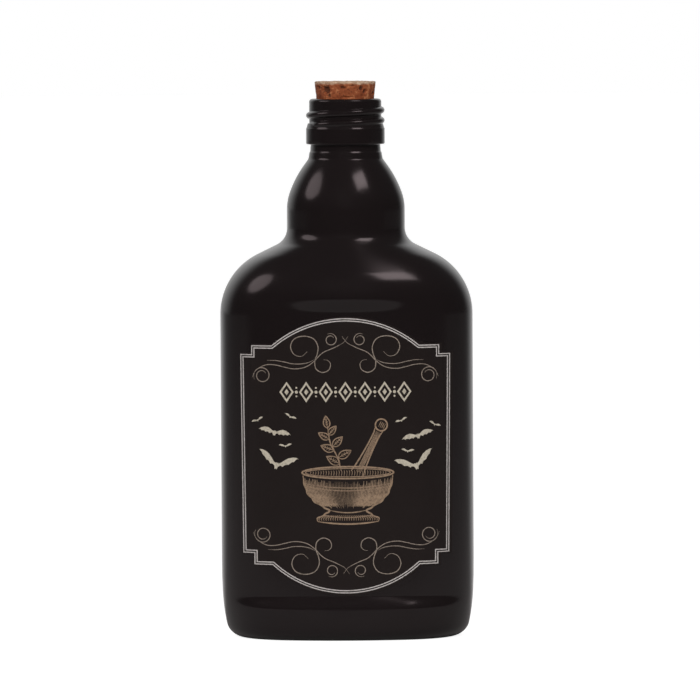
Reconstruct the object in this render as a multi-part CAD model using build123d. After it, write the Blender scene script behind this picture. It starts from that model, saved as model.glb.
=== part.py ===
from build123d import *
from math import asin, atan2, cos, degrees, radians, sin, sqrt, tan
import os

# A flat-sided black glass bottle: an oval body, a round bulb under the neck, a screw finish closed by
# a tapered cork, and a shaped label let into a shallow panel on the front.
# Millimetres. The origin is the middle of the base, +Z is up and the label faces -Y.

# Glass body, from the base up
body_width = 89.5
body_depth = 62.0
side_radius = 27.5
heel_radius = 6.0
heel_height = 15.8
heel_draft = 2.9
heel_front_draft = 1.6
panel_recess = 1.6
panel_height = 99.5
brow_height = 6.0
brow_radius = 16.5
brow_root_radius = 5.0
brow_root_drop = 1.3
shoulder_lead = 1.0
shoulder_radius = 23.85
shoulder_height = 30.6
root_radius = 6.5

# Glass neck, from the bulb up
bulb_diameter = 41.8
bulb_height = 6.0
bulb_bend_radius = 19.0
bulb_lean = 20.0
crown_bend_radius = 46.0
crown_lean = 34.5
neck_diameter = 24.6
neck_bend_radius = 3.0
neck_height = 3.75
collar_diameter = 27.9
collar_height = 6.6
collar_bevel = 0.7
finish_diameter = 25.6
finish_height = 8.5
lip_bevel = 0.7
bore_diameter = 20.7
mouth_bevel = 0.7

# Glass thickness
wall = 3.0
shoulder_drop = 1.5
base_thickness = 6.0
bearing_width = 3.0
push_up_depth = 2.5

# Cork
cork_length = 23.9
cork_exposed = 6.3
cork_flare = 0.65
cork_clearance = 0.1
cork_bevel = 0.5

# Label
label_thickness = 0.12
label_adhesive = 0.02
label_side_gap = 7.2
label_draft = 0.7
label_top_gap = 0.8
label_bottom_gap = 0.3
label_arch_span = 52.4
label_top_rise = 9.6
label_bottom_rise = 10.4
label_notch_width = 3.9
label_top_notch = 3.2
label_bottom_notch = 4.0

# Proportions of the blown form
heel_bulge_share = 0.55
cavity_corner_share = 0.78
push_up_reach_share = 0.9

# How many strips make up each curve
corner_steps = 4
heel_steps = 2
brow_steps = 3
shoulder_steps = 4
root_steps = 3
inner_steps = 2
dome_steps = 2
bend_steps = 2

half_width = body_width / 2
half_depth = body_depth / 2
panel_half_depth = half_depth - panel_recess
bulb_radius = bulb_diameter / 2
neck_radius = neck_diameter / 2
collar_radius = collar_diameter / 2
finish_radius = finish_diameter / 2
bore_radius = bore_diameter / 2


def rise(start, end, height):
    """A smooth step from 0 at the start height to 1 at the end height."""
    share = min(max((height - start) / (end - start), 0), 1)
    return share * share * (3 - 2 * share)


def arc_fall(radius, along):
    """How far an arc has turned away from its tangent after a length along that tangent."""
    return radius - sqrt(radius * radius - along * along)


def shoulder_slope(bend, hollow, fall, length):
    """The slope of the straight that joins a bend to a hollow, from their radii and both their reaches."""
    both = bend + hollow
    straight = sqrt((both - fall) ** 2 + length ** 2 - both ** 2)
    return atan2(length, both - fall) - atan2(straight, both)


def shoulder_fall(bend, hollow, fall, length, along):
    """How far a shoulder has come in at a height above its start: a bend, a straight, then a hollow."""
    slope = shoulder_slope(bend, hollow, fall, length)
    if along <= bend * sin(slope):
        return arc_fall(bend, along)
    if along >= length - hollow * sin(slope):
        return fall - arc_fall(hollow, length - along)
    return bend * (1 - cos(slope)) + (along - bend * sin(slope)) * tan(slope)


def bent(start, radius, lean_from, lean_to):
    """Radius and height points round a bend of the neck, between two leans in degrees; hollow if negative."""
    points = []
    first = radians(lean_from)
    for step in range(1, bend_steps + 1):
        lean = radians(lean_from + (lean_to - lean_from) * step / bend_steps)
        points.append((start[0] - radius * (cos(first) - cos(lean)), start[1] + radius * (sin(lean) - sin(first))))
    return points


# Heights of the body's landmarks
heel_bulge = heel_height * heel_bulge_share
panel_top = heel_height + panel_height
brow_top = panel_top + brow_height
shoulder_start = panel_top - shoulder_lead
bulb_start = shoulder_start + shoulder_height
brow_root = bulb_start - brow_root_drop
shoulder_lean = shoulder_slope(shoulder_radius, root_radius, half_width - bulb_radius, shoulder_height)
root_start = bulb_start - root_radius * sin(shoulder_lean)

# Landmarks of the neck, up from the bulb's two bends and down into the neck
bulb_top = bulb_start + bulb_height
bulb_curve = bent((bulb_radius, bulb_top), bulb_bend_radius, 0, bulb_lean)
crown_curve = bent(bulb_curve[-1], crown_bend_radius, bulb_lean, crown_lean)
crown_radius, crown_top = crown_curve[-1]
hollow_radius = neck_radius + neck_bend_radius * (1 - cos(radians(crown_lean)))
hollow_start = crown_top + (crown_radius - hollow_radius) / tan(radians(crown_lean))
hollow_curve = [(hollow_radius, hollow_start)]
hollow_curve += bent(hollow_curve[0], -neck_bend_radius, crown_lean, 0)
neck_start = hollow_curve[-1][1]
collar_bottom = neck_start + neck_height
collar_top = collar_bottom + collar_height
rim = collar_top + finish_height


def width_at(height):
    """Half the body's width at a height."""
    if height < heel_height:
        return half_width - heel_draft * (1 - height / heel_height) ** 2
    if height <= shoulder_start:
        return half_width
    fall = half_width - bulb_radius
    return half_width - shoulder_fall(shoulder_radius, root_radius, fall, shoulder_height, height - shoulder_start)


def depth_at(height):
    """Half the body's depth at a height, with the panel let in between a crisp ledge and a soft brow."""
    if height < heel_bulge:
        return half_depth - heel_front_draft * (1 - height / heel_bulge) ** 2
    if height < heel_height:
        ledge_height = heel_height - heel_bulge
        ledge_radius = (ledge_height ** 2 + panel_recess ** 2) / (2 * panel_recess)
        return half_depth - arc_fall(ledge_radius, height - heel_bulge)
    if height <= brow_top:
        return panel_half_depth + panel_recess * rise(panel_top, brow_top, height)
    if height >= brow_root:
        return bulb_radius
    fall = half_depth - bulb_radius
    return half_depth - shoulder_fall(brow_radius, brow_root_radius, fall, brow_root - brow_top, height - brow_top)


def corner_angle_at(height):
    """Where the front arc of the plan oval meets its side arc, in radians from the front."""
    level = min(height, brow_top)
    width = width_at(level)
    depth = depth_at(level)
    front_radius = ((width - side_radius) ** 2 + depth ** 2 - side_radius ** 2) / (2 * (depth - side_radius))
    return asin((width - side_radius) / (front_radius - side_radius))


def oval(width, depth, corner_angle):
    """A four-centred oval, from its half width, half depth and the angle where its arcs meet."""
    spread = (width - depth) / (sin(corner_angle) + cos(corner_angle) - 1)
    side_x = spread * sin(corner_angle)
    front_y = spread * cos(corner_angle)
    side_arc_radius = width - side_x
    front_arc_radius = side_arc_radius + spread
    front_turn_degrees = degrees(corner_angle)
    side_turn_degrees = 90 - front_turn_degrees
    arcs = []
    for quarter, (x, y, radius, turn) in enumerate([
        (side_x, 0, side_arc_radius, side_turn_degrees),
        (0, -front_y, front_arc_radius, front_turn_degrees),
        (-side_x, 0, side_arc_radius, side_turn_degrees),
        (0, front_y, front_arc_radius, front_turn_degrees),
    ]):
        arcs.append(CenterArc((x, y), radius, 90 * quarter - turn, 2 * turn))
    return make_face(Wire(arcs))


def section(height, inset=0):
    """The plan outline of the body at a height, drawn in by an inset."""
    outline = oval(width_at(height) - inset, depth_at(height) - inset, corner_angle_at(height))
    return Pos(0, 0, height) * outline


def spaced(start, end, steps):
    """The heights after a start, in even steps up to an end."""
    return [start + (end - start) * step / steps for step in range(1, steps + 1)]


def rounded_corner(floor, radius, inset, steps):
    """The outlines up a rounded lower edge, in even steps of its turn."""
    outlines = []
    for step in range(steps + 1):
        turn = radians(90 * step / steps)
        outlines.append(section(floor + radius * (1 - cos(turn)), inset + radius * (1 - sin(turn))))
    return outlines


def body_outside():
    """The oval body from its rounded lower edge up to the bulb."""
    heel = [section(level) for level in spaced(heel_radius, heel_height, heel_steps)]
    lower = loft(rounded_corner(0, heel_radius, 0, corner_steps) + heel, ruled=True)
    middle = extrude(section(heel_height), shoulder_start - heel_height)
    brow_levels = [shoulder_start, panel_top] + spaced(panel_top, brow_top, brow_steps)
    brow = loft([section(level) for level in brow_levels], ruled=True)
    shoulder_levels = [brow_top] + spaced(brow_top, root_start, shoulder_steps)
    shoulder = loft([section(level) for level in shoulder_levels])
    root_levels = [root_start] + spaced(root_start, bulb_start, root_steps)
    root = loft([section(level) for level in root_levels], ruled=True)
    return lower + middle + brow + shoulder + root


def body_cavity():
    """The space inside the body, a wall's thickness in from the outside."""
    floor = base_thickness + shoulder_drop
    corner_radius = (heel_height - floor) * cavity_corner_share
    levels = [heel_height, shoulder_start, brow_top]
    levels += spaced(brow_top, root_start, brow_steps) + spaced(root_start, bulb_start, inner_steps)
    outlines = rounded_corner(floor, corner_radius, wall, inner_steps)
    outlines += [section(level, wall) for level in levels]
    return Pos(0, 0, -shoulder_drop) * loft(outlines, ruled=True)


def turned(points):
    """A solid of revolution about Z from a closed chain of radius and height points."""
    return revolve(Plane.XZ * make_face(Polyline(*points, close=True)), Axis.Z)


def neck_form():
    """The outside of the bulb, neck, collar and screw finish."""
    points = [
        (0, bulb_start),
        (bulb_radius, bulb_start),
        (bulb_radius, bulb_top),
        *bulb_curve,
        *crown_curve,
        *hollow_curve,
        (neck_radius, collar_bottom),
        (collar_radius - collar_bevel, collar_bottom),
        (collar_radius, collar_bottom + collar_bevel),
        (collar_radius, collar_top - collar_bevel),
        (finish_radius, collar_top),
        (finish_radius, rim - lip_bevel),
        (finish_radius - lip_bevel, rim),
        (0, rim),
    ]
    return turned(points)


def neck_bore():
    """The space inside the bulb, neck and mouth, with the mouth's inner edge eased."""
    inner_radius = bulb_radius - wall
    points = [
        (0, bulb_start - shoulder_drop),
        (inner_radius, bulb_start - shoulder_drop),
        (inner_radius, bulb_top - shoulder_drop),
        (bore_radius, neck_start),
        (bore_radius, rim - mouth_bevel),
        (bore_radius + mouth_bevel, rim),
        (0, rim),
    ]
    return turned(points)


def push_up():
    """The hollow dome under the base, inside its bearing ring."""
    outline_width = width_at(0) - heel_radius - bearing_width
    outline_depth = depth_at(0) - heel_radius - bearing_width
    reach = (side_radius - heel_radius - bearing_width) * push_up_reach_share
    levels = []
    for step in range(dome_steps + 1):
        turn = radians(90 * step / dome_steps)
        inset = reach * (1 - cos(turn))
        outline = oval(outline_width - inset, outline_depth - inset, corner_angle_at(0))
        levels.append(Pos(0, 0, push_up_depth * sin(turn)) * outline)
    return loft(levels, ruled=True)


def glass_bottle():
    """The hollow bottle, with its oval body blown into a round bulb and neck."""
    outside = body_outside() + neck_form()
    inside = body_cavity() + neck_bore()
    return outside - inside - push_up()


def cork_stopper():
    """The tapered cork, seated in the mouth with its head standing proud of the rim."""
    seat_radius = bore_radius - cork_clearance
    taper = cork_flare / cork_exposed
    top = rim + cork_exposed
    top_radius = seat_radius + cork_flare
    bottom = top - cork_length
    bottom_radius = top_radius - cork_length * taper
    rings = [
        (bottom_radius - cork_bevel, bottom),
        (bottom_radius, bottom + cork_bevel),
        (top_radius, top - cork_bevel),
        (top_radius - cork_bevel, top),
    ]
    return loft([Pos(0, 0, height) * Circle(radius) for radius, height in rings], ruled=True)


def label_outline():
    """The label's shape from the front: arched at top and bottom, with a square notch at each corner."""
    top = panel_top - label_top_gap
    bottom = heel_height + label_bottom_gap
    top_half = half_width - label_side_gap
    bottom_half = top_half - label_draft
    arch_half = label_arch_span / 2
    top_step = top - label_top_rise
    bottom_step = bottom + label_bottom_rise
    right = [
        (arch_half, top_step),
        (top_half - label_notch_width, top_step),
        (top_half - label_notch_width, top_step - label_top_notch),
        (top_half, top_step - label_top_notch),
        (bottom_half, bottom_step + label_bottom_notch),
        (bottom_half - label_notch_width, bottom_step + label_bottom_notch),
        (bottom_half - label_notch_width, bottom_step),
        (arch_half, bottom_step),
    ]
    left = [(-x, z) for x, z in reversed(right)]
    bottom_arch = ThreePointArc(right[-1], (0, bottom), left[0])
    top_arch = ThreePointArc(left[-1], (0, top), right[0])
    return make_face([Polyline(*right), bottom_arch, Polyline(*left), top_arch])


def front_label():
    """The label, a thin sheet bent round the front panel on its film of adhesive."""
    angle = corner_angle_at(panel_top)
    back_face = label_adhesive
    front_face = label_adhesive + label_thickness
    skin = oval(half_width + front_face, panel_half_depth + front_face, angle)
    skin = skin - oval(half_width + back_face, panel_half_depth + back_face, angle)
    skin = Pos(0, 0, heel_height) * extrude(skin, panel_height)
    return skin & extrude(Plane.XZ * label_outline(), half_depth)


os.makedirs("parts", exist_ok=True)
export_step(glass_bottle(), "parts/glass_bottle.step")
export_step(cork_stopper(), "parts/cork_stopper.step")
export_step(front_label(), "parts/front_label.step")
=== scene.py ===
import math

import bmesh
import bpy
from mathutils import Matrix, Vector, noise


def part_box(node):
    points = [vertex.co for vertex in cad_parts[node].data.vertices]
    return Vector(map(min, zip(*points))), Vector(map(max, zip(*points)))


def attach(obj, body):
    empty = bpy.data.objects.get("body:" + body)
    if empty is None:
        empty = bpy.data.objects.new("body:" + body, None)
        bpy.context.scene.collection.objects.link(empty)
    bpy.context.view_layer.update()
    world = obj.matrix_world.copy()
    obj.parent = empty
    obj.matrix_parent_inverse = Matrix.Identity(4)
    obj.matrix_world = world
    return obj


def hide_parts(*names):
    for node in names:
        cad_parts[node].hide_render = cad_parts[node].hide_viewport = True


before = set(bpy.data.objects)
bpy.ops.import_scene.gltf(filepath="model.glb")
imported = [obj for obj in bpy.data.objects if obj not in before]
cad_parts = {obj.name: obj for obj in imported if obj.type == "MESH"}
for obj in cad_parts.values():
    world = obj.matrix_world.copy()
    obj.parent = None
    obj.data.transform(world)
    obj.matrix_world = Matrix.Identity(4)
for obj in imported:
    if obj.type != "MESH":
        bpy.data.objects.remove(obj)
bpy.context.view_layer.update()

mm = 0.001

# Glass bottle: one blown and moulded piece of dark glass with an opaque black lacquer over it.
# Its plan is a four-centred oval that a shallow panel flattens front and back, and above the shoulder
# it turns round into a bulb, a neck with a collar and a screw finish with one and a half turns of thread.

glass_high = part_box("glass_bottle")[1]
half_width = glass_high.x
rim = glass_high.z
half_depth = 31.0 * mm
side_radius = 27.5 * mm
heel_side_radius = 29.6 * mm
panel_recess = 1.6 * mm
panel_half_depth = half_depth - panel_recess

heel_radius = 4.6 * mm
heel_height = 15.8 * mm
heel_bulge = 0.55 * heel_height
ledge_height = 4.6 * mm
ledge_start = heel_height - ledge_height
side_draft = 3.1 * mm
side_draft_top = 30.0 * mm
side_draft_power = 3.2
heel_front_draft = 1.6 * mm
panel_height = 99.5 * mm
panel_top = heel_height + panel_height
brow_height = 6.0 * mm
brow_top = panel_top + brow_height

bulb_radius = 20.9 * mm
bulb_bend_radius = 19.0 * mm
bulb_lean = math.radians(20)
crown_bend_radius = 38.0 * mm
crown_lean = math.radians(35.5)
neck_radius = 12.35 * mm
neck_bend_radius = 2.0 * mm
neck_lean = math.radians(7)
neck_foot = Vector((13.42, 169.02)) * mm
neck_step_low = Vector((12.78, 171.6)) * mm
neck_step_high = Vector((12.5, 172.1)) * mm
collar_radius = 13.95 * mm
collar_ease = (Vector((13.95, -1.9)) * mm, Vector((13.72, -1.42)) * mm, Vector((13.3, 0.0)) * mm)
finish_radius = 12.8 * mm
lip_radius = 1.1 * mm
bore_radius = 10.35 * mm
mouth_bevel = 0.7 * mm
edge_radius = 0.45 * mm
soft_edge = 0.5 * edge_radius
sharp_edge = 0.3 * edge_radius

wall = 3.0 * mm
shoulder_drop = 1.5 * mm
base_thickness = 6.0 * mm
bearing_width = 3.0 * mm
push_up_depth = 2.5 * mm
push_up_reach_share = 0.9

shoulder_lead = 1.0 * mm
shoulder_start = panel_top - shoulder_lead
shoulder_radius = 23.85 * mm
shoulder_height = 30.6 * mm
root_radius = 6.5 * mm
brow_radius = 16.5 * mm
brow_root_radius = 5.0 * mm
bulb_start = shoulder_start + shoulder_height
brow_root_drop = 1.3 * mm
brow_root = bulb_start - brow_root_drop
bulb_band = 6.4 * mm
bulb_top = bulb_start + bulb_band
finish_height = 8.7 * mm
collar_top = rim - finish_height
collar_height = 7.4 * mm
collar_bottom = collar_top - collar_height
bore_foot = 172.0 * mm
inner_bend_radius = 6.0 * mm

thread_pitch = 3.6 * mm
thread_height = 1.13 * mm
thread_width = 2.5 * mm
thread_fullness = 0.62
thread_low = 182.9 * mm
thread_first_turn = -0.47
thread_last_turn = 1.12
thread_fade = 0.10

around = 320
ring_turns = [2 * math.pi * step / around for step in range(around)]
corner_steps = 12
heel_steps = 20
ledge_supports = [-0.15 * mm, 0.0, 0.15 * mm, 0.6 * mm]
panel_steps = 16
brow_steps = 14
shoulder_steps = 56
thread_spacing = 0.12 * mm
neck_spacing = 1.0 * mm
inner_spacing = 1.5 * mm


def rise(start, end, value):
    """A smooth step from 0 at the start value to 1 at the end value."""
    share = min(max((value - start) / (end - start), 0), 1)
    return share * share * (3 - 2 * share)


def arc_fall(radius, along):
    """How far an arc has turned away from its tangent after a length along that tangent."""
    return radius - math.sqrt(radius * radius - along * along)


def shoulder_slope(bend, hollow, fall, length):
    """The slope of the straight that joins a bend to a hollow, from their radii and both their reaches."""
    both = bend + hollow
    straight = math.sqrt((both - fall) ** 2 + length ** 2 - both ** 2)
    return math.atan2(length, both - fall) - math.atan2(straight, both)


def shoulder_fall(bend, hollow, fall, length, along):
    """How far a shoulder has come in at a height above its start: a bend, a straight, then a hollow."""
    slope = shoulder_slope(bend, hollow, fall, length)
    if along <= bend * math.sin(slope):
        return arc_fall(bend, along)
    if along >= length - hollow * math.sin(slope):
        return fall - arc_fall(hollow, length - along)
    return bend * (1 - math.cos(slope)) + (along - bend * math.sin(slope)) * math.tan(slope)


def body_width_at(height):
    """Half the body's width at a height."""
    if height < side_draft_top:
        return half_width - side_draft * (1 - height / side_draft_top) ** side_draft_power
    if height <= shoulder_start:
        return half_width
    along = min(height - shoulder_start, shoulder_height)
    fall = half_width - bulb_radius
    return half_width - shoulder_fall(shoulder_radius, root_radius, fall, shoulder_height, along)


def body_depth_at(height):
    """Half the body's depth at a height, with the panel let in between a crisp ledge and a soft brow."""
    if height < heel_bulge:
        return half_depth - heel_front_draft * (1 - height / heel_bulge) ** 2
    if height < ledge_start:
        return half_depth
    if height < heel_height:
        ledge_radius = (ledge_height ** 2 + panel_recess ** 2) / (2 * panel_recess)
        return half_depth - arc_fall(ledge_radius, height - ledge_start)
    if height <= brow_top:
        return panel_half_depth + panel_recess * rise(panel_top, brow_top, height)
    if height >= brow_root:
        return bulb_radius
    fall = half_depth - bulb_radius
    length = brow_root - brow_top
    return half_depth - shoulder_fall(brow_radius, brow_root_radius, fall, length, height - brow_top)


def corner_angle_at(height):
    """Where the front arc of the oval meets its side arc, in radians from the front."""
    level = min(height, brow_top)
    width = body_width_at(level)
    depth = body_depth_at(level)
    fullness = min(level / ledge_start, 1) * (1 - rise(ledge_start, heel_height, level))
    side = side_radius + (heel_side_radius - side_radius) * fullness
    front_radius = ((width - side) ** 2 + depth ** 2 - side ** 2) / (2 * (depth - side))
    return math.asin((width - side) / (front_radius - side))


def oval_point(width, depth, corner_angle, turn):
    """The point of a four-centred oval where its outline faces a direction, a turn from +X."""
    spread = (width - depth) / (math.sin(corner_angle) + math.cos(corner_angle) - 1)
    side_x = spread * math.sin(corner_angle)
    front_y = spread * math.cos(corner_angle)
    side_arc = width - side_x
    facing = Vector((math.cos(turn), math.sin(turn)))
    if abs(facing.y) > math.cos(corner_angle):
        centre = Vector((0, -math.copysign(front_y, facing.y)))
        return centre + facing * (side_arc + spread)
    return Vector((math.copysign(side_x, facing.x), 0)) + facing * side_arc


def oval_ring(width, depth, corner_angle, height):
    """One ring of a four-centred oval, at a height."""
    points = [oval_point(width, depth, corner_angle, turn) for turn in ring_turns]
    return [Vector((point.x, point.y, height)) for point in points]


def body_ring(height, inset, drop):
    """One ring of the oval body, drawn in by an inset and lowered by a drop."""
    width = body_width_at(height) - inset
    depth = body_depth_at(height) - inset
    return oval_ring(width, depth, corner_angle_at(height), height - drop)


def thread_rise(height, turn):
    """How far the screw thread stands out of the finish at a height and a turn from +X."""
    most = 0.0
    for lap in (-1, 0, 1):
        laps = turn / (2 * math.pi) + lap
        if thread_first_turn < laps < thread_last_turn:
            along = min(laps - thread_first_turn, thread_last_turn - laps) / thread_fade
            away = abs(height - thread_low - thread_pitch * laps) / (thread_width / 2)
            if away < 1:
                ridge = (1 - away * away) ** thread_fullness
                most = max(most, thread_height * rise(0, 1, along) * ridge)
    return most


def neck_ring(radius, height, threaded=False):
    """One round ring of the neck, with the thread's ridge on it where it is threaded."""
    ring = []
    for turn in ring_turns:
        ridge = thread_rise(height, turn) if threaded else 0.0
        here = max(radius, finish_radius + ridge) if ridge > 0 else radius
        ring.append(Vector((here * math.cos(turn), here * math.sin(turn), height)))
    return ring


def rounded_chain(points, radii, steps=7):
    """A chain of radius and height points with each inner corner turned into an arc."""
    chain = [Vector(points[0])]
    for before, corner, after, radius in zip(points, points[1:], points[2:], radii):
        corner = Vector(corner)
        back = (Vector(before) - corner).normalized()
        on = (Vector(after) - corner).normalized()
        half = back.angle(on) / 2
        reach = radius / math.tan(half)
        centre = corner + (back + on).normalized() * radius / math.sin(half)
        start = corner + back * reach - centre
        end = corner + on * reach - centre
        sweep = start.angle_signed(end)
        for step in range(steps + 1):
            turned = start.copy()
            turned.rotate(Matrix.Rotation(-sweep * step / steps, 2))
            chain.append(centre + turned)
    chain.append(Vector(points[-1]))
    return chain


def skin(name, rings):
    """A closed mesh through rings of equal count, capped at the first and last ring's middle."""
    builder = bmesh.new()
    rows = [[builder.verts.new(point) for point in ring] for ring in rings]
    for low, high in zip(rows, rows[1:]):
        for step in range(len(low)):
            following = (step + 1) % len(low)
            builder.faces.new((low[step], low[following], high[following], high[step]))
    for row in (rows[0], rows[-1]):
        middle = builder.verts.new(sum((vert.co for vert in row), Vector()) / len(row))
        for step in range(len(row)):
            builder.faces.new((row[step], row[(step + 1) % len(row)], middle))
    bmesh.ops.recalc_face_normals(builder, faces=builder.faces)
    return mesh_piece(name, builder)


def mesh_piece(name, builder):
    """A smooth-shaded object made from a finished mesh."""
    mesh = bpy.data.meshes.new(name)
    builder.to_mesh(mesh)
    builder.free()
    mesh.shade_smooth()
    piece = bpy.data.objects.new(name, mesh)
    bpy.context.scene.collection.objects.link(piece)
    return piece


def spaced(start, end, steps):
    """Levels in equal steps after a start, up to an end."""
    return [start + (end - start) * step / steps for step in range(1, steps + 1)]


def body_rings(floor, corner_radius, inset, drop):
    """The rings of the body, from its rounded lower edge at a floor height up to the bulb."""
    rings = []
    for step in range(corner_steps + 1):
        turn = math.radians(90) * step / corner_steps
        height = floor + corner_radius * (1 - math.cos(turn))
        rings.append(body_ring(height, inset + corner_radius * (1 - math.sin(turn)), drop))
    levels = spaced(floor + corner_radius, heel_height, heel_steps)[:-1]
    levels += [heel_height + support for support in ledge_supports]
    levels += spaced(heel_height, shoulder_start, panel_steps)
    levels += spaced(shoulder_start, brow_top, brow_steps)
    levels += spaced(brow_top, bulb_start, shoulder_steps)[:-1]
    return rings + [body_ring(level, inset, drop) for level in levels]


def push_up_rings():
    """The rings of the hollow dome under the base, from its middle out to the bearing ring."""
    width = body_width_at(0) - heel_radius - bearing_width
    depth = body_depth_at(0) - heel_radius - bearing_width
    reach = push_up_reach_share * (side_radius - heel_radius - bearing_width)
    angle = corner_angle_at(0)
    rings = []
    for step in range(corner_steps + 1):
        turn = math.radians(90) * (1 - step / corner_steps)
        inset = reach * (1 - math.cos(turn))
        rings.append(oval_ring(width - inset, depth - inset, angle, push_up_depth * math.sin(turn)))
    return rings


def bent(start, radius, lean_from, lean_to, steps=10):
    """Radius and height points round a bend of the neck, or a hollow if its radius is negative."""
    points = []
    for step in range(1, steps + 1):
        lean = lean_from + (lean_to - lean_from) * step / steps
        across = start.x - radius * (math.cos(lean_from) - math.cos(lean))
        up = start.y + radius * (math.sin(lean) - math.sin(lean_from))
        points.append(Vector((across, up)))
    return points


def spots_between(start, end, spacing):
    """Points from a start to just before an end, about a spacing apart."""
    pieces = max(1, round((end - start).length / spacing))
    return [start.lerp(end, step / pieces) for step in range(pieces)]


def outer_neck_rings():
    """The rings of the bulb, neck, collar and threaded finish, up to the lip."""
    bulb = [Vector((bulb_radius, bulb_start)), Vector((bulb_radius, bulb_top))]
    bulb += bent(bulb[-1], bulb_bend_radius, 0, bulb_lean)
    bulb += bent(bulb[-1], crown_bend_radius, bulb_lean, crown_lean)
    bulb += [neck_foot] + bent(neck_foot, -neck_bend_radius, crown_lean, neck_lean)
    ease_foot, ease_middle, ease_top = [Vector((0, collar_top)) + reach for reach in collar_ease]
    points = [bulb[-1]]
    corners = [
        (neck_step_low, soft_edge),
        (neck_step_high, soft_edge),
        ((neck_radius, collar_bottom), soft_edge),
        ((collar_radius, collar_bottom), edge_radius),
        (ease_foot, edge_radius),
        (ease_middle, edge_radius),
        (ease_top, sharp_edge),
        ((finish_radius, collar_top), sharp_edge),
        ((finish_radius, rim), lip_radius),
    ]
    points += [point for point, radius in corners] + [(bore_radius + mouth_bevel, rim)]
    chain = bulb[:-1] + rounded_chain(points, [radius for point, radius in corners])
    rings = []
    for start, end in zip(chain, chain[1:]):
        on_finish = start.y > ease_middle.y and end.y <= rim
        spots = spots_between(start, end, thread_spacing if on_finish else neck_spacing)
        rings += [neck_ring(spot.x, spot.y, on_finish) for spot in spots]
    return rings


def inner_neck_rings():
    """The rings down the inside of the mouth, neck and bulb."""
    points = [
        (bore_radius + mouth_bevel, rim),
        (bore_radius, rim - mouth_bevel),
        (bore_radius, bore_foot),
        (bulb_radius - wall, bulb_top - shoulder_drop),
        (bulb_radius - wall, bulb_start - shoulder_drop),
    ]
    chain = rounded_chain(points, [edge_radius, inner_bend_radius, bulb_bend_radius])
    rings = []
    for start, end in zip(chain, chain[1:]):
        rings += [neck_ring(spot.x, spot.y) for spot in spots_between(start, end, inner_spacing)]
    return rings


cavity_floor = base_thickness + shoulder_drop
cavity_corner_share = 0.78
cavity_corner = cavity_corner_share * (heel_height - cavity_floor)
cavity_rings = body_rings(cavity_floor, cavity_corner, wall, shoulder_drop)
bottle_rings = push_up_rings() + body_rings(0.0, heel_radius, 0.0, 0.0) + outer_neck_rings()
bottle_rings += inner_neck_rings() + cavity_rings[::-1]
bottle = skin("bottle_glass", bottle_rings)


def feed(node, inputs):
    """Set a node's sockets: a link where the value is another node's output, else the value itself."""
    for socket, value in inputs.items():
        if isinstance(value, bpy.types.NodeSocket):
            node.id_data.links.new(value, node.inputs[socket])
        else:
            node.inputs[socket].default_value = value


def node_adder(tree):
    """A function that adds a node to a tree, from its kind, what its sockets take and its settings."""
    def add(kind, inputs=None, **settings):
        node = tree.nodes.new(kind)
        for key, value in settings.items():
            setattr(node, key, value)
        feed(node, inputs or {})
        return node

    return add


def new_material(name):
    """A material, its shader and a function that adds nodes to it."""
    material = bpy.data.materials.new(name)
    material.use_nodes = True
    return material, material.node_tree.nodes["Principled BSDF"], node_adder(material.node_tree)


def mottle(add, scale, detail, roughness=0.5):
    """A noise from 0 to 1 through the piece."""
    place = add("ShaderNodeTexCoord").outputs["Object"]
    settings = {"Vector": place, "Scale": scale, "Detail": detail, "Roughness": roughness}
    return add("ShaderNodeTexNoise", settings).outputs["Fac"]


def ramp(add, factor, *stops):
    """A colour over a factor, from stops that are each a position and a colour."""
    node = add("ShaderNodeValToRGB", {"Fac": factor})
    elements = node.color_ramp.elements
    for element, (position, colour) in zip(elements, (stops[0], stops[-1])):
        element.position = position
        element.color = (*colour, 1)
    for position, colour in stops[1:-1]:
        elements.new(position).color = (*colour, 1)
    return node.outputs["Color"]


def relief(add, height, strength, distance):
    """The shading normal of a fine relief."""
    bump = add("ShaderNodeBump", {"Height": height, "Strength": strength, "Distance": distance})
    return bump.outputs["Normal"]


def black_lacquer():
    """Black lacquer on glass: near black, glossy, with the faint ripple of a sprayed coat."""
    material, shader, add = new_material("black_lacquer")
    tone = mottle(add, 60.0, 3.0)
    ripple = mottle(add, 240.0, 2.0)
    feed(shader, {
        "Base Color": ramp(add, tone, (0, (0.0112, 0.0080, 0.0086)), (1, (0.0136, 0.0100, 0.0106))),
        "Roughness": 0.17,
        "IOR": 1.5,
        "Normal": relief(add, ripple, 0.05, 0.1 * mm),
    })
    return material


bottle.data.materials.append(black_lacquer())
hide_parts("glass_bottle")
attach(bottle, "bottle")

# Cork: one tapered stopper punched from natural bark, stained red-brown and darkened by handling.
# It is pushed into the mouth by hand, open pores pit its side, and its upper edge is rubbed and chipped.

cork_low, cork_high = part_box("cork_stopper")
cork_flare = 0.65 / 6.3
cork_foot_radius = 8.43 * mm
cork_edge = 0.35 * mm
grain_level = 0.05 * mm
grain_depth = 0.07 * mm
chip_depth = 0.3 * mm
top_drop = 0.05 * mm
top_wear = 0.55 * mm
top_pit_depth = 0.7 * mm
top_pit_mark = 0.6
cork_around = 240

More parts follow.
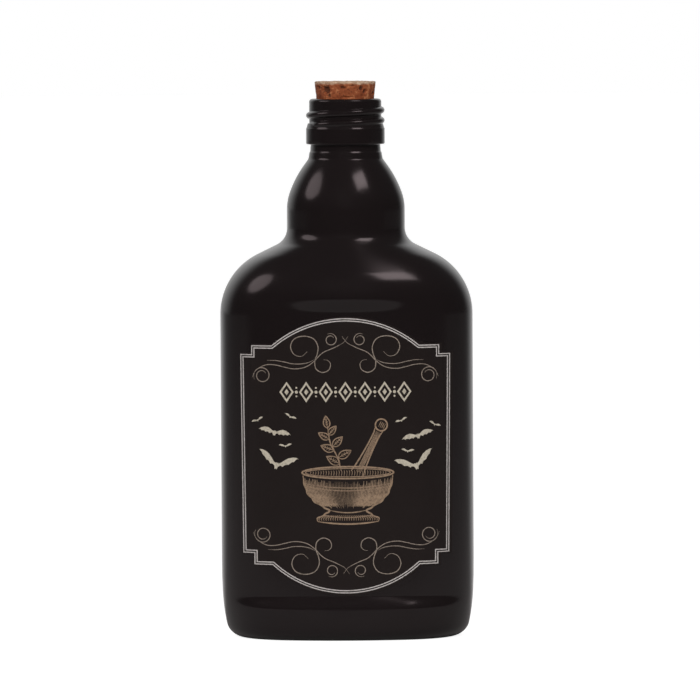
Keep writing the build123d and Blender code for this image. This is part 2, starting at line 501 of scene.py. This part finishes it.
# Each pore: degrees from the front, height in mm, reach in degrees, half height and depth in mm.
bark_pores = [
    (-39, 193.9, 11.0, 1.9, 1.15),
    (-34, 191.9, 5.0, 1.1, 0.7),
    (-4, 194.7, 9.0, 0.6, 0.6),
    (13, 195.3, 8.0, 0.5, 0.5),
    (33, 194.4, 5.0, 1.3, 0.9),
    (42, 193.3, 7.0, 1.0, 0.8),
    (5, 191.3, 14.0, 0.4, 0.35),
    (-62, 194.6, 7.0, 1.0, 0.7),
    (72, 192.4, 8.0, 1.2, 0.8),
    (104, 194.2, 10.0, 0.8, 0.8),
    (140, 193.0, 8.0, 1.6, 1.0),
    (176, 194.8, 12.0, 0.6, 0.6),
    (-150, 192.4, 9.0, 1.1, 0.8),
    (-118, 194.3, 6.0, 1.5, 0.9),
    (-88, 192.0, 8.0, 0.8, 0.6),
]


def pore_depth(turn, height):
    """How deep the bark's open pores go at a turn from the front, in degrees, and a height."""
    deepest = 0.0
    for facing, middle, reach, half_height, depth in bark_pores:
        ragged = 1 + 0.45 * noise.noise(Vector((turn * 0.22, height / mm * 1.3, facing)))
        aside = ((turn - facing + 180) % 360 - 180) / reach
        above = (height / mm - middle) / half_height
        away = math.hypot(aside, above) / ragged
        deepest = max(deepest, depth * mm * rise(0, 0.75, 1 - away))
    return deepest


def cork_ring(radius, height):
    """One ring of the cork's side, roughened by its grain and let in at its pores."""
    ring = []
    for step in range(cork_around):
        turn = 2 * math.pi * step / cork_around
        place = Vector((math.cos(turn) * 6, math.sin(turn) * 6, height / mm * 0.8))
        facing = math.degrees(turn) + 90
        grain = grain_level + grain_depth * noise.fractal(place * 1.4, 0.6, 2.2, 4)
        chip = rise(0.15, 0.55, noise.noise(place * 0.45 + Vector((3, 1, 7))))
        chip *= rise(-1.6, 0, (height - cork_high.z) / mm)
        here = radius - max(0.0, grain) - pore_depth(facing, height) - chip_depth * chip
        ring.append(Vector((here * math.cos(turn), here * math.sin(turn), height)))
    return ring


def top_pit(x, y):
    """How open the bark is at a place on the cork's top, from 0 to 1."""
    return rise(0.28, 0.5, noise.noise(Vector((x * 1.5, y * 0.8, 0.021)) / mm * 0.8))


def cork_top_ring(share):
    """One ring of the cork's worn top, dished and uneven, at a share of its radius."""
    ring = []
    for step in range(cork_around):
        turn = 2 * math.pi * step / cork_around
        here = Vector((math.cos(turn), math.sin(turn), 0)) * (cork_high.x - cork_edge) * share
        waves = 0.5 + 0.5 * noise.fractal(Vector((here.x, here.y, 0.004)) / mm * 0.22, 0.7, 2.1, 4)
        waves += 0.25 * noise.noise(Vector((here.x, here.y, 0.009)) / mm * 0.9)
        pit = top_pit_depth * top_pit(here.x, here.y) * rise(1.0, 0.9, share)
        here.z = cork_high.z - top_drop - top_wear * max(0.0, waves) ** 2 - pit
        ring.append(here)
    return ring


foot_shares = (0.3, 0.6, 0.85, 0.97)
seated_step = 0.6 * mm
seated_rings = 27
open_start = cork_low.z + 16.8 * mm
open_step = 0.16 * mm
open_rings = 42
worn_rings = 27
side_levels = [cork_low.z + seated_step * (step + 1) for step in range(seated_rings)]
side_levels += [open_start + open_step * (step + 1) for step in range(open_rings)]
top_shares = [0.995, 0.98] + [0.96 - 0.035 * step for step in range(worn_rings)]
cork_rings = [cork_ring(share * cork_foot_radius, cork_low.z) for share in foot_shares]
cork_rings += [cork_ring(cork_high.x - (cork_high.z - level) * cork_flare, level) for level in side_levels]
side_vertices = len(cork_rings) * cork_around
cork_rings += [cork_top_ring(share) for share in top_shares]
cork = skin("cork_bark", cork_rings)
pore_marks = cork.data.attributes.new("open_pores", "FLOAT", "POINT")
for place, (vertex, mark) in enumerate(zip(cork.data.vertices, pore_marks.data)):
    facing = math.degrees(math.atan2(vertex.co.y, vertex.co.x)) + 90
    side_mark = pore_depth(facing, vertex.co.z) / mm
    mark.value = side_mark if place < side_vertices else top_pit_mark * top_pit(vertex.co.x, vertex.co.y)


def mixed(add, factor, first, second):
    """A colour between two others, by a factor."""
    return add("ShaderNodeMix", {"Factor": factor, 6: first, 7: second}, data_type="RGBA").outputs[2]


def stained_bark():
    """Stained natural cork: mottled red-brown bark that turns darker towards near-black the deeper its side
    pores and top pits go, and a paler rubbed upper edge.
    """
    material, shader, add = new_material("stained_bark")
    place = add("ShaderNodeTexCoord").outputs["Object"]
    patches = mottle(add, 420.0, 5.0, 0.7)
    shadow = (0.3, (0.190, 0.045, 0.016))
    middle = (0.52, (0.390, 0.110, 0.042))
    stain = ramp(add, patches, shadow, middle, (0.72, (0.84, 0.385, 0.180)))
    bare = ramp(add, patches, (0.34, (0.46, 0.27, 0.16)), (0.62, (0.84, 0.63, 0.46)))
    flecks = add("ShaderNodeTexVoronoi", {"Vector": place, "Scale": 900.0}).outputs["Distance"]
    specks = add("ShaderNodeMapRange", {"Value": flecks, "From Min": 0.08, "From Max": 0.3})
    speckled = mixed(add, specks.outputs["Result"], (0.13, 0.040, 0.020, 1), stain)
    height = add("ShaderNodeSeparateXYZ", {"Vector": place}).outputs["Z"]
    uneven = add("ShaderNodeMath", {0: mottle(add, 300.0, 3.0), 1: 1.6 * mm}, operation="MULTIPLY")
    level = add("ShaderNodeMath", {0: height, 1: uneven.outputs["Value"]}, operation="ADD")
    edge = add("ShaderNodeMapRange", {
        "Value": level.outputs["Value"],
        "From Min": cork_high.z - 0.55 * mm,
        "From Max": cork_high.z + 0.15 * mm,
    })
    rubbed = mixed(add, edge.outputs["Result"], speckled, bare)
    pores = add("ShaderNodeAttribute", attribute_name="open_pores").outputs["Fac"]
    # Mixes in near-black by how deep the side pore goes there, and on the top by how open the bark is.
    hollow = add("ShaderNodeMapRange", {"Value": pores, "From Min": 0.08, "From Max": 0.75, "To Max": 0.9})
    feed(shader, {
        "Base Color": mixed(add, hollow.outputs["Result"], rubbed, (0.085, 0.028, 0.016, 1)),
        "Roughness": 0.8,
        "Normal": relief(add, mottle(add, 1500.0, 4.0), 0.6, 0.25 * mm),
    })
    return material


cork.data.materials.append(stained_bark())
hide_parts("cork_stopper")
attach(cork, "cork")

# Label film: one sheet of thin near-black satin paper, die-cut with arched ends and notched corners.
# It is stuck down on its adhesive in the front panel and bends with the panel's face.

film_back = 0.02 * mm
film_face = 0.14 * mm
film_top_gap = 0.8 * mm
film_foot_gap = 0.3 * mm
film_side_gap = 7.2 * mm
film_taper = 0.7 * mm
film_top = panel_top - film_top_gap
film_bottom = heel_height + film_foot_gap
film_top_half = half_width - film_side_gap
film_bottom_half = film_top_half - film_taper
arch_half = 26.2 * mm
top_arch_rise = 9.6 * mm
bottom_arch_drop = 10.4 * mm
arch_top = film_top - top_arch_rise
arch_bottom = film_bottom + bottom_arch_drop
notch_width = 3.9 * mm
top_notch = 3.2 * mm
bottom_notch = 4.0 * mm

panel_angle = corner_angle_at(panel_top)
panel_spread = (half_width - panel_half_depth) / (math.sin(panel_angle) + math.cos(panel_angle) - 1)
panel_side_x = panel_spread * math.sin(panel_angle)
panel_front_y = panel_spread * math.cos(panel_angle)
panel_side_arc = half_width - panel_side_x
panel_front_arc = panel_side_arc + panel_spread


def on_panel(x, z, lift):
    """The point over the front panel at a place across and up it, lifted off the glass."""
    if abs(x) <= (panel_front_arc + lift) * math.sin(panel_angle):
        return Vector((x, panel_front_y - math.sqrt((panel_front_arc + lift) ** 2 - x * x), z))
    return Vector((x, -math.sqrt((panel_side_arc + lift) ** 2 - (abs(x) - panel_side_x) ** 2), z))


def arch(half_span, foot, crown, steps=44):
    """Points from right to left along an arc through its two feet and its crown."""
    height = crown - foot
    radius = (half_span ** 2 + height ** 2) / (2 * abs(height))
    sign = math.copysign(1, height)
    half_turn = math.asin(half_span / radius)
    points = []
    for step in range(steps + 1):
        turn = half_turn * (1 - 2 * step / steps)
        points.append(Vector((radius * math.sin(turn), crown - sign * radius * (1 - math.cos(turn)))))
    return points


def film_outline(lowest):
    """The film's edge, anticlockwise from its top arch, with its bottom arch down to a lowest level."""
    upper = arch(arch_half, arch_top, film_top)
    lower = arch(arch_half, arch_bottom, lowest)
    steps = [
        (film_top_half - notch_width, arch_top),
        (film_top_half - notch_width, arch_top - top_notch),
        (film_top_half, arch_top - top_notch),
        (film_bottom_half, arch_bottom + bottom_notch),
        (film_bottom_half - notch_width, arch_bottom + bottom_notch),
        (film_bottom_half - notch_width, arch_bottom),
    ]
    left = [Vector((-x, z)) for x, z in steps]
    right = [Vector((x, z)) for x, z in reversed(steps)]
    return upper + left + lower[::-1] + right


def layer(name, outlines, low, high, shift=0.0):
    """A thin closed layer over the panel that fills flat outlines of x and z points."""
    flat = bmesh.new()
    for outline in outlines:
        flat.faces.new([flat.verts.new((x + shift, 0, z)) for x, z in outline])
    bmesh.ops.triangulate(flat, faces=flat.faces[:], ngon_method="EAR_CLIP")
    ends = [vert.co.x for vert in flat.verts]
    for cut in range(math.floor(min(ends) / mm) + 1, math.ceil(max(ends) / mm)):
        whole = flat.verts[:] + flat.edges[:] + flat.faces[:]
        bmesh.ops.bisect_plane(flat, geom=whole, dist=1e-8, plane_co=(cut * mm, 0, 0), plane_no=(1, 0, 0))
    grown = bmesh.ops.extrude_face_region(flat, geom=flat.faces[:], use_keep_orig=True)["geom"]
    raised = {item for item in grown if isinstance(item, bmesh.types.BMVert)}
    for vert in flat.verts:
        vert.co = on_panel(vert.co.x, vert.co.z, high if vert in raised else low)
    bmesh.ops.recalc_face_normals(flat, faces=flat.faces[:])
    piece = mesh_piece(name, flat)
    piece.data.shade_flat()
    return piece


film = layer("label_film", [film_outline(film_bottom)], film_back, film_face)


def satin_paper():
    """Near-black satin paper, with the faint tooth of its fibres."""
    material, shader, add = new_material("satin_paper")
    tone = mottle(add, 90.0, 4.0)
    fibres = mottle(add, 2600.0, 2.0)
    feed(shader, {
        "Base Color": ramp(add, tone, (0, (0.0140, 0.0102, 0.0098)), (1, (0.0185, 0.0138, 0.0132))),
        "Roughness": 0.42,
        "Specular IOR Level": 0.4,
        "Normal": relief(add, fibres, 0.12, 0.05 * mm),
    })
    return material


film.data.materials.append(satin_paper())
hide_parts("front_label")
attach(film, "bottle")

# Printed frame: a double rule of pale grey ink that follows the film's cut edge all the way round.
# It is screen printed, so it stands a hair above the paper.

ink_low = 0.12 * mm
ink_high = 0.16 * mm
rule_width = 0.36 * mm
rule_insets = (0.72 * mm, 1.5 * mm)
rule_step = 1.0 * mm
frame_foot_gap = 0.4 * mm
print_shift = -0.5 * mm


def inset_loop(points, distance):
    """A closed loop drawn in by a distance, with its corners kept sharp."""
    moved = []
    for before, here, after in zip(points[-1:] + points[:-1], points, points[1:] + points[:1]):
        back = (here - before).normalized()
        on = (after - here).normalized()
        back_side = Vector((-back.y, back.x))
        on_side = Vector((-on.y, on.x))
        moved.append(here + (back_side + on_side) * distance / (1 + back_side.dot(on_side)))
    return moved


def stepped(points, longest):
    """A line with points added so that no run is longer than given."""
    line = []
    for start, end in zip(points, points[1:]):
        pieces = max(1, math.ceil((end - start).length / longest))
        line += [start.lerp(end, piece / pieces) for piece in range(pieces)]
    return line + [points[-1]]


def rule(builder, points, width, closed=False):
    """One ruled or drawn line of ink over the panel; the width is a number or one for each point."""
    widths = width if isinstance(width, list) else [width] * len(points)
    rows = []
    for place, here in enumerate(points):
        before = points[place - 1] if closed or place else here
        after = points[(place + 1) % len(points)] if closed or place + 1 < len(points) else here
        back = (here - before).normalized() if here != before else (after - here).normalized()
        on = (after - here).normalized() if after != here else back
        side = Vector((-back.y - on.y, back.x + on.x)) / (1 + back.dot(on)) * widths[place] / 2
        left = here + side
        right = here - side
        corners = [(left, ink_low), (left, ink_high), (right, ink_high), (right, ink_low)]
        spots = [on_panel(spot.x + print_shift, spot.y, lift) for spot, lift in corners]
        rows.append([builder.verts.new(spot) for spot in spots])
    pairs = list(zip(rows, rows[1:])) + ([(rows[-1], rows[0])] if closed else [])
    for first, second in pairs:
        for corner in range(4):
            following = (corner + 1) % 4
            builder.faces.new((first[corner], first[following], second[following], second[corner]))
    if not closed:
        builder.faces.new(rows[0])
        builder.faces.new(rows[-1][::-1])


def printed(name, builder, material):
    """A finished piece of printed ink that rides on the bottle."""
    bmesh.ops.recalc_face_normals(builder, faces=builder.faces[:])
    piece = mesh_piece(name, builder)
    piece.data.shade_flat()
    piece.data.materials.append(material)
    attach(piece, "bottle")
    return piece


def print_ink(name, light, dark):
    """Opaque screen ink between two tones, slightly broken up by the paper's tooth."""
    material, shader, add = new_material(name)
    tooth = mottle(add, 1400.0, 3.0)
    feed(shader, {
        "Base Color": ramp(add, tooth, (0.3, dark), (0.55, light)),
        "Roughness": 0.55,
        "Normal": relief(add, tooth, 0.15, 0.03 * mm),
    })
    return material


frame_builder = bmesh.new()
for inset in rule_insets:
    frame_line = inset_loop(film_outline(film_bottom + frame_foot_gap), inset)
    rule(frame_builder, stepped(frame_line + frame_line[:1], rule_step)[:-1], rule_width, closed=True)
printed("frame_rules", frame_builder, print_ink("grey_ink", (0.70, 0.68, 0.67), (0.48, 0.465, 0.455)))

# Scrollwork: fine pen-line scrolls in tan ink, in mirrored pairs under the top arch and over the
# bottom one. They are screen printed in the same pass as the frame.

scroll_middle = 65.75 * mm
big_curl = [
    (13.4, 102.2), (15.4, 100.6), (18.0, 101.3), (19.2, 104.0), (17.9, 106.7), (14.6, 107.7),
    (11.2, 106.8), (9.6, 104.2), (9.8, 101.5), (10.7, 98.9), (10.3, 96.2), (8.1, 94.9), (5.8, 95.8),
    (5.2, 97.8), (6.1, 99.1), (7.6, 99.4),
]
long_stem = [
    (-1.1, 107.6), (0.5, 105.5), (2.5, 104.3), (4.6, 103.3), (7.3, 102.2), (9.1, 100.8), (10.7, 99.1),
    (13.0, 97.3), (15.5, 96.4), (18.5, 96.2), (21.5, 96.8), (24.5, 97.5), (27.5, 97.6), (29.9, 96.7),
    (31.9, 95.0), (32.8, 93.1),
]
short_stem = [
    (10.9, 99.4), (13.0, 98.4), (15.8, 97.9), (18.8, 98.0), (21.5, 98.6), (24.5, 99.1), (27.5, 99.1),
]


def curl(across, up, outer, inner, start, turns, steps=40):
    """Points of one round curl, from its outer radius in to its inner one; the start is in degrees."""
    points = []
    for step in range(steps + 1):
        share = step / steps
        turn = math.radians(start) + 2 * math.pi * turns * share
        radius = outer + (inner - outer) * share
        points.append((across + radius * math.cos(turn), up + radius * math.sin(turn)))
    return points


def pen_line(points, steps):
    """A smooth line in metres through points in millimetres."""
    spots = [Vector(point) * mm for point in points]
    spots = [spots[0] * 2 - spots[1]] + spots + [spots[-1] * 2 - spots[-2]]
    line = []
    for before, start, end, after in zip(spots, spots[1:], spots[2:], spots[3:]):
        for step in range(steps):
            along = step / steps
            bow = (start - before + end - start) * along
            bow += (2 * before - 5 * start + 4 * end - after) * along ** 2
            bow += (3 * start - before - 3 * end + after) * along ** 3
            line.append(start + bow / 2)
    return line + [spots[-2]]


def tapered(count, width, ends=0.35):
    """Widths for a pen line that thins towards both of its ends."""
    shares = [min(place, count - 1 - place) / (count - 1) for place in range(count)]
    return [width * (ends + (1 - ends) * rise(0, 0.22, share)) for share in shares]


scroll_builder = bmesh.new()
scroll_lines = [
    (big_curl, 7, 0.306),
    (long_stem, 7, 0.270),
    (short_stem, 7, 0.243),
    (curl(5.1, 106.4, 2.25, 1.25, 60, 1.25), 3, 0.279),
    (curl(29.3, 93.8, 3.05, 1.5, -30, 1.5), 3, 0.279),
]
for points, steps, width in scroll_lines:
    drawn = pen_line(points, steps)
    widths = tapered(len(drawn), width * mm)
    for mirror_x in (1, -1):
        for mirror_z in (False, True):
            placed = [Vector((mirror_x * x, 2 * scroll_middle - z if mirror_z else z)) for x, z in drawn]
            rule(scroll_builder, placed, widths)
printed("scrollwork", scroll_builder, print_ink("tan_ink", (0.38, 0.325, 0.275), (0.22, 0.19, 0.16)))

# Lozenge row: a plain ornament of cream lozenges and beads under the top scrolls.
# It is screen printed like the frame.

row_height = 88.0 * mm
row_pitch = 6.9 * mm
lozenge_half = Vector((2.15, 3.1)) * mm
lozenge_line = 0.62 * mm
lozenge_step = 0.8 * mm
lozenge_core_share = 0.36
bead_radius = 0.55 * mm
small_bead_radius = 0.6 * bead_radius
bead_step = 1.5 * mm


def ellipse(across, up, half_wide, half_high, count):
    """Points round an ellipse."""
    sweep = [2 * math.pi * step / count for step in range(count)]
    return [Vector((across + half_wide * math.cos(turn), up + half_high * math.sin(turn))) for turn in sweep]


cream_ink = print_ink("cream_ink", (0.68, 0.64, 0.53), (0.50, 0.47, 0.38))
row_builder = bmesh.new()
row_fills = []
for place in range(-3, 4):
    middle = Vector((place * row_pitch, row_height))
    across = Vector((lozenge_half.x, 0))
    up = Vector((0, lozenge_half.y))
    corners = [middle + across, middle + up, middle - across, middle - up]
    rule(row_builder, stepped(corners + corners[:1], lozenge_step)[:-1], lozenge_line, closed=True)
    row_fills.append([middle + (corner - middle) * lozenge_core_share for corner in corners])
for place in range(-3, 3):
    middle_x = (place + 0.5) * row_pitch
    row_fills.append(ellipse(middle_x, row_height - bead_step, small_bead_radius, small_bead_radius, 14))
    row_fills.append(ellipse(middle_x, row_height, bead_radius, bead_radius, 14))
    row_fills.append(ellipse(middle_x, row_height + bead_step, small_bead_radius, small_bead_radius, 14))
printed("lozenge_row", row_builder, cream_ink)
lozenges = layer("lozenge_beads", row_fills, ink_low, ink_high, print_shift)
lozenges.data.materials.append(cream_ink)
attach(lozenges, "bottle")

# Bats: ten cream silhouettes in flight, five down each side of the label, each a single flat of ink.
# They are screen printed with the lozenge row.

bat_wing = [
    (0.020, 0.062), (0.034, 0.034), (0.085, 0.050), (0.150, 0.094), (0.235, 0.128), (0.340, 0.118),
    (0.430, 0.078), (0.500, 0.020),
]
bat_fingers = [(0.500, 0.020), (0.395, -0.010), (0.275, -0.034), (0.145, -0.052), (0.045, -0.040)]
bat_back = (0.0, 0.036)
bat_tail = [(0.022, -0.105), (0.0, -0.080)]

# Each bat: place across and up in mm, span in mm, tilt in degrees, lift of its wing tips.
bats = [
    (-31.0, 78.0, 4.6, 24, 0.10),
    (-19.4, 79.3, 4.6, -26, 0.10),
    (-25.0, 73.8, 11.6, -11, -0.05),
    (-21.2, 69.0, 4.8, 4, 0.22),
    (-24.4, 62.3, 15.4, -14, 0.62),
    (19.6, 77.8, 4.6, 22, 0.10),
    (31.4, 76.2, 4.6, -24, 0.10),
    (25.4, 72.4, 11.6, 15, -0.05),
    (21.8, 67.0, 4.8, -5, 0.22),
    (24.8, 61.9, 15.4, 17, 0.62),
]


def bat_outline(across, up, span, tilt, lift):
    """One bat's outline, tilted by an angle in degrees, with its wing tips lifted by a share."""
    half = [bat_back] + bat_wing
    for (start_x, start_z), (end_x, end_z) in zip(bat_fingers, bat_fingers[1:]):
        for step in range(1, 5):
            share = step / 5
            sag = 0.030 * math.sin(math.pi * share)
            half.append((start_x + (end_x - start_x) * share, start_z + (end_z - start_z) * share + sag))
        half.append((end_x, end_z))
    half += bat_tail
    turn = Matrix.Rotation(math.radians(tilt), 2)
    outline = []
    for x, z in half + [(-x, z) for x, z in half[-2:0:-1]]:
        flapped = Vector((x * (1 - 0.25 * lift * abs(x)), z + lift * abs(x) ** 1.4))
        outline.append((Vector((across, up)) + turn @ flapped * span) * mm)
    return outline[::-1]


bat_flock = layer("bat_flock", [bat_outline(*bat) for bat in bats], ink_low, ink_high, print_shift)
bat_flock.data.materials.append(cream_ink)
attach(bat_flock, "bottle")

# Engraving: a mortar with its pestle and a herb sprig, drawn in gold-tan line and hatching.
# It is screen printed in the middle of the label.

bowl_profile = [
    (42.4, 10.6), (43.5, 11.0), (44.6, 8.6), (46.2, 6.4), (47.6, 8.8), (49.8, 12.2), (52.8, 14.4),
    (56.2, 15.5), (59.0, 15.8),
]
bowl_middle = 0.7
bowl_foot = 42.4
bowl_waist = 46.4
bowl_lip = 58.6

# Each band round the bowl: level, dish and line width in mm.
bowl_bands = [
    (42.4, 0.9, 0.55),
    (44.7, 0.9, 0.3),
    (46.4, 0.9, 0.4),
    (54.9, 1.7, 0.34),
    (55.9, 1.7, 0.34),
]

rim_level = 59.6
rim_half = Vector((16.1, 2.1))
pestle_foot = Vector((3.9, 59.2))
pestle_head = Vector((13.2, 77.6))
pestle_shaft = [(0.0, 2.3), (0.18, 1.75), (0.45, 1.3), (0.72, 1.15), (0.84, 1.5)]
knob_radius = 2.1
sprig_stem = [(-1.6, 60.2), (-3.0, 65.2), (-5.4, 70.0), (-6.4, 76.0)]
leaf_edge = [(0.0, 0.0), (0.2, 0.19), (0.42, 0.25), (0.66, 0.19), (0.86, 0.08), (1.0, 0.0)]

# Each leaf: place of its root in mm, the way it points in degrees from +X, length in mm.
leaves = [
    (-2.0, 62.6, 150, 5.6),
    (-2.7, 64.8, 30, 5.4),
    (-4.0, 67.4, 160, 5.2),
    (-4.6, 68.8, 45, 5.0),
    (-5.7, 71.4, 150, 4.6),
    (-6.1, 72.8, 50, 4.4),
    (-6.4, 75.2, 98, 4.6),
]


def bowl_half_at(height):
    """Half the bowl's width at a height, in millimetres."""
    for (low, low_half), (high, high_half) in zip(bowl_profile, bowl_profile[1:]):
        if height <= high:
            return low_half + (high_half - low_half) * rise(low, high, height)
    return bowl_profile[-1][1]


engraving_builder = bmesh.new()


def engrave(points, width, steps=4):
    """One engraved line through points in millimetres."""
    drawn = pen_line(points, steps)
    rule(engraving_builder, drawn, tapered(len(drawn), width * mm, 0.5))


def shares(reach, count):
    """Shares from one side to the other, in equal steps, out to a reach."""
    return [reach * (2 * step / (count - 1) - 1) for step in range(count)]


def on_bowl(share, level, dish=0.0):
    """A place on the bowl at a share of its half width, with its level lowered by a dish."""
    return (bowl_middle + share * bowl_half_at(level), level - dish)


bowl_levels = [bowl_foot + (bowl_lip - bowl_foot) * step / 24 for step in range(25)]
for side in (-1, 1):
    engrave([on_bowl(side, level) for level in bowl_levels], 0.62)
for share in shares(0.965, 58):
    shade = rise(0.12, 0.5, abs(share + 0.12)) * (0.8 + 0.4 * noise.noise(Vector((share * 9, 2.5, 0))))
    low_end = bowl_waist + 0.6 + 1.5 * abs(noise.noise(Vector((share * 21, 0.5, 1))))
    high_end = rim_level - 1.2 - 2.0 * abs(noise.noise(Vector((share * 17, 6.5, 3))))
    dish = 1.6 * (1 - share * share)
    hatched = [level for level in bowl_levels if low_end < level < high_end]
    engrave([on_bowl(share, level, dish * rise(46, 56, level)) for level in hatched], 0.13 + 0.26 * shade, 2)
for share in shares(0.94, 26):
    engrave([on_bowl(share, level) for level in (42.7, 43.3, 43.9, 44.6)], 0.22, 2)
for level, dish, width in bowl_bands:
    engrave([on_bowl(share, level, dish * (1 - share * share)) for share in shares(1, 21)], width)
for grow, width in ((0.0, 0.55), (1.15, 0.3)):
    rim_oval = ellipse(bowl_middle, rim_level, rim_half.x - grow, rim_half.y - grow * 0.55, 48)
    rule(engraving_builder, [spot * mm for spot in rim_oval], width * mm, closed=True)
for share in shares(0.9, 30):
    depth = (rim_half.y - 0.9) * math.sqrt(1 - share * share)
    middle = Vector((bowl_middle + share * 14.7, rim_level))
    stroke = [Vector((0, -0.95 * depth)), Vector((0.2, 0.1)), Vector((0, 0.7 * depth))]
    engrave([middle + reach for reach in stroke], 0.2, 3)

pestle_run = pestle_head - pestle_foot
pestle_side = Vector((-pestle_run.y, pestle_run.x)).normalized()


def on_pestle(share, aside):
    """A place on the pestle at a share of its length, to one side of its middle."""
    return pestle_foot + pestle_run * share + pestle_side * aside


for side in (-1, 1):
    engrave([on_pestle(share, side * half) for share, half in pestle_shaft], 0.5)
for line in range(5):
    engrave([on_pestle(share, 0.36 * line - 0.9) for share in (0.04, 0.3, 0.6, 0.8)], 0.24)
knob = on_pestle(0.93, 0.0)
knob_edge = ellipse(knob.x * mm, knob.y * mm, knob_radius * mm, knob_radius * mm, 30)
rule(engraving_builder, knob_edge, 0.5 * mm, closed=True)
for line in range(4):
    aside = pestle_side * (0.6 * line - 1.2)
    engrave([knob + aside + pestle_run.normalized() * reach for reach in (-1.0, 0.0, 1.1)], 0.24, 3)

engrave(sprig_stem, 0.45)
for across, up, facing, length in leaves:
    root = Vector((across, up))
    run = Vector((math.cos(math.radians(facing)), math.sin(math.radians(facing)))) * length
    aside = Vector((-run.y, run.x))
    for side in (-1, 1):
        engrave([root + run * along + aside * side * full for along, full in leaf_edge], 0.36)
        for along in (0.25, 0.42, 0.6):
            vein = root + run * along
            engrave([vein, vein + run * 0.14 + aside * side * 0.12], 0.18, 3)
    engrave([root, root + run * 0.5, root + run * 0.94], 0.26)
printed("engraving", engraving_builder, print_ink("gold_ink", (0.41, 0.295, 0.20), (0.22, 0.155, 0.105)))

# Studio: a white floor and a white surround behind the bottle, with darkness in front of it.
# A soft box on either side draws the highlights, and a broad fill light that makes none lifts the label.

floor_half_size = 6.0
floor_front = -0.34
floor_mesh = bmesh.new()
bmesh.ops.create_grid(floor_mesh, x_segments=1, y_segments=1, size=floor_half_size)
bmesh.ops.translate(floor_mesh, verts=floor_mesh.verts, vec=(0, floor_half_size + floor_front, 0))
floor = mesh_piece("studio_floor", floor_mesh)
floor_material, floor_shader, floor_add = new_material("white_floor")
floor_place = floor_add("ShaderNodeTexCoord").outputs["Object"]
floor_facing = floor_add("ShaderNodeVectorMath", {0: floor_place}, operation="NORMALIZE").outputs["Vector"]
floor_back = floor_add("ShaderNodeMapRange", {
    "Value": floor_add("ShaderNodeSeparateXYZ", {"Vector": floor_facing}).outputs["Y"],
    "From Min": 0.62,
    "From Max": 1.05,
    "To Max": 0.75,
}, interpolation_type="SMOOTHSTEP").outputs["Result"]
floor_seen = floor_add("ShaderNodeLightPath").outputs["Is Camera Ray"]
floor_glow = floor_add("ShaderNodeMath", {0: floor_seen, 1: 0.9}, operation="MULTIPLY").outputs["Value"]
floor_light = floor_add("ShaderNodeMath", {0: floor_glow, 1: floor_back}, operation="MAXIMUM")
feed(floor_shader, {
    "Base Color": (0.5, 0.5, 0.5, 1),
    "Roughness": 0.9,
    "Emission Color": (1, 1, 1, 1),
    "Emission Strength": floor_light.outputs["Value"],
})
floor.data.materials.append(floor_material)

camera_aside = 1.2 * mm
camera_distance = 3.2
camera_height = 0.245
aim_height = 101.45 * mm
camera_roll = math.radians(-0.33)
view_width = 248.3 * mm
sensor_width = 36

camera_data = bpy.data.cameras.new("camera")
camera = bpy.data.objects.new("camera", camera_data)
bpy.context.scene.collection.objects.link(camera)
camera.location = (camera_aside, -camera_distance, camera_height)
aim = Vector((camera_aside, 0, aim_height))
look = aim - camera.location
level_turn = look.to_track_quat("-Z", "Y").to_matrix()
camera.rotation_euler = (level_turn @ Matrix.Rotation(camera_roll, 3, "Z")).to_euler()
camera_data.sensor_width = sensor_width
camera_data.lens = sensor_width * look.length / view_width
bpy.context.scene.camera = camera

light_target = Vector((0, 0, 120 * mm))
pink_white = (1.0, 0.83, 0.85)
warm_white = (1.0, 0.97, 0.93)


def soft_box(name, shape, colour, azimuth, elevation, distance, width, height, power):
    """A soft light aimed at the bottle, from an azimuth in degrees to the right of the camera."""
    light = bpy.data.lights.new(name, "AREA")
    light.shape = shape
    light.size = width
    light.size_y = height
    light.energy = power
    light.color = colour
    lamp = bpy.data.objects.new(name, light)
    bpy.context.scene.collection.objects.link(lamp)
    turn = math.radians(azimuth)
    lift = math.radians(elevation)
    away = Vector((math.sin(turn) * math.cos(lift), -math.cos(turn) * math.cos(lift), math.sin(lift)))
    lamp.location = light_target + away * distance
    lamp.rotation_euler = (-away).to_track_quat("-Z", "Y").to_euler()
    return lamp


soft_box("soft_box_right", "RECTANGLE", pink_white, 43, 50, 1.8, 0.68, 0.55, 4.4)
soft_box("soft_box_left", "ELLIPSE", pink_white, -82, 34, 1.8, 1.00, 0.96, 4.1)
fill = soft_box("fill_light", "RECTANGLE", warm_white, 0, 25, 2.2, 1.5, 1.5, 30)
fill.visible_glossy = False

world = bpy.data.worlds.new("white_studio")
bpy.context.scene.world = world
world.use_nodes = True
sky_add = node_adder(world.node_tree)
direction = sky_add("ShaderNodeTexCoord").outputs["Generated"]
backward = sky_add("ShaderNodeVectorMath", {0: direction, 1: (-0.12, 0.993, 0)}, operation="DOT_PRODUCT")
behind = sky_add("ShaderNodeMapRange", {
    "Value": backward.outputs["Value"],
    "From Min": 0.5,
    "From Max": 0.9,
    "To Min": 0.06,
}, interpolation_type="SMOOTHSTEP").outputs["Result"]
upward = sky_add("ShaderNodeSeparateXYZ", {"Vector": direction}).outputs["Z"]
haze = sky_add("ShaderNodeMapRange", {"Value": upward, "From Max": 0.5, "To Min": 0.62}).outputs["Result"]
lit = sky_add("ShaderNodeMath", {0: behind, 1: haze}, operation="MULTIPLY").outputs["Value"]
seen = sky_add("ShaderNodeLightPath").outputs["Is Camera Ray"]
feed(world.node_tree.nodes["Background"], {
    "Color": (1, 1, 1, 1),
    "Strength": sky_add("ShaderNodeMath", {0: lit, 1: seen}, operation="MAXIMUM").outputs["Value"],
})
bpy.context.scene.view_settings.view_transform = "Standard"
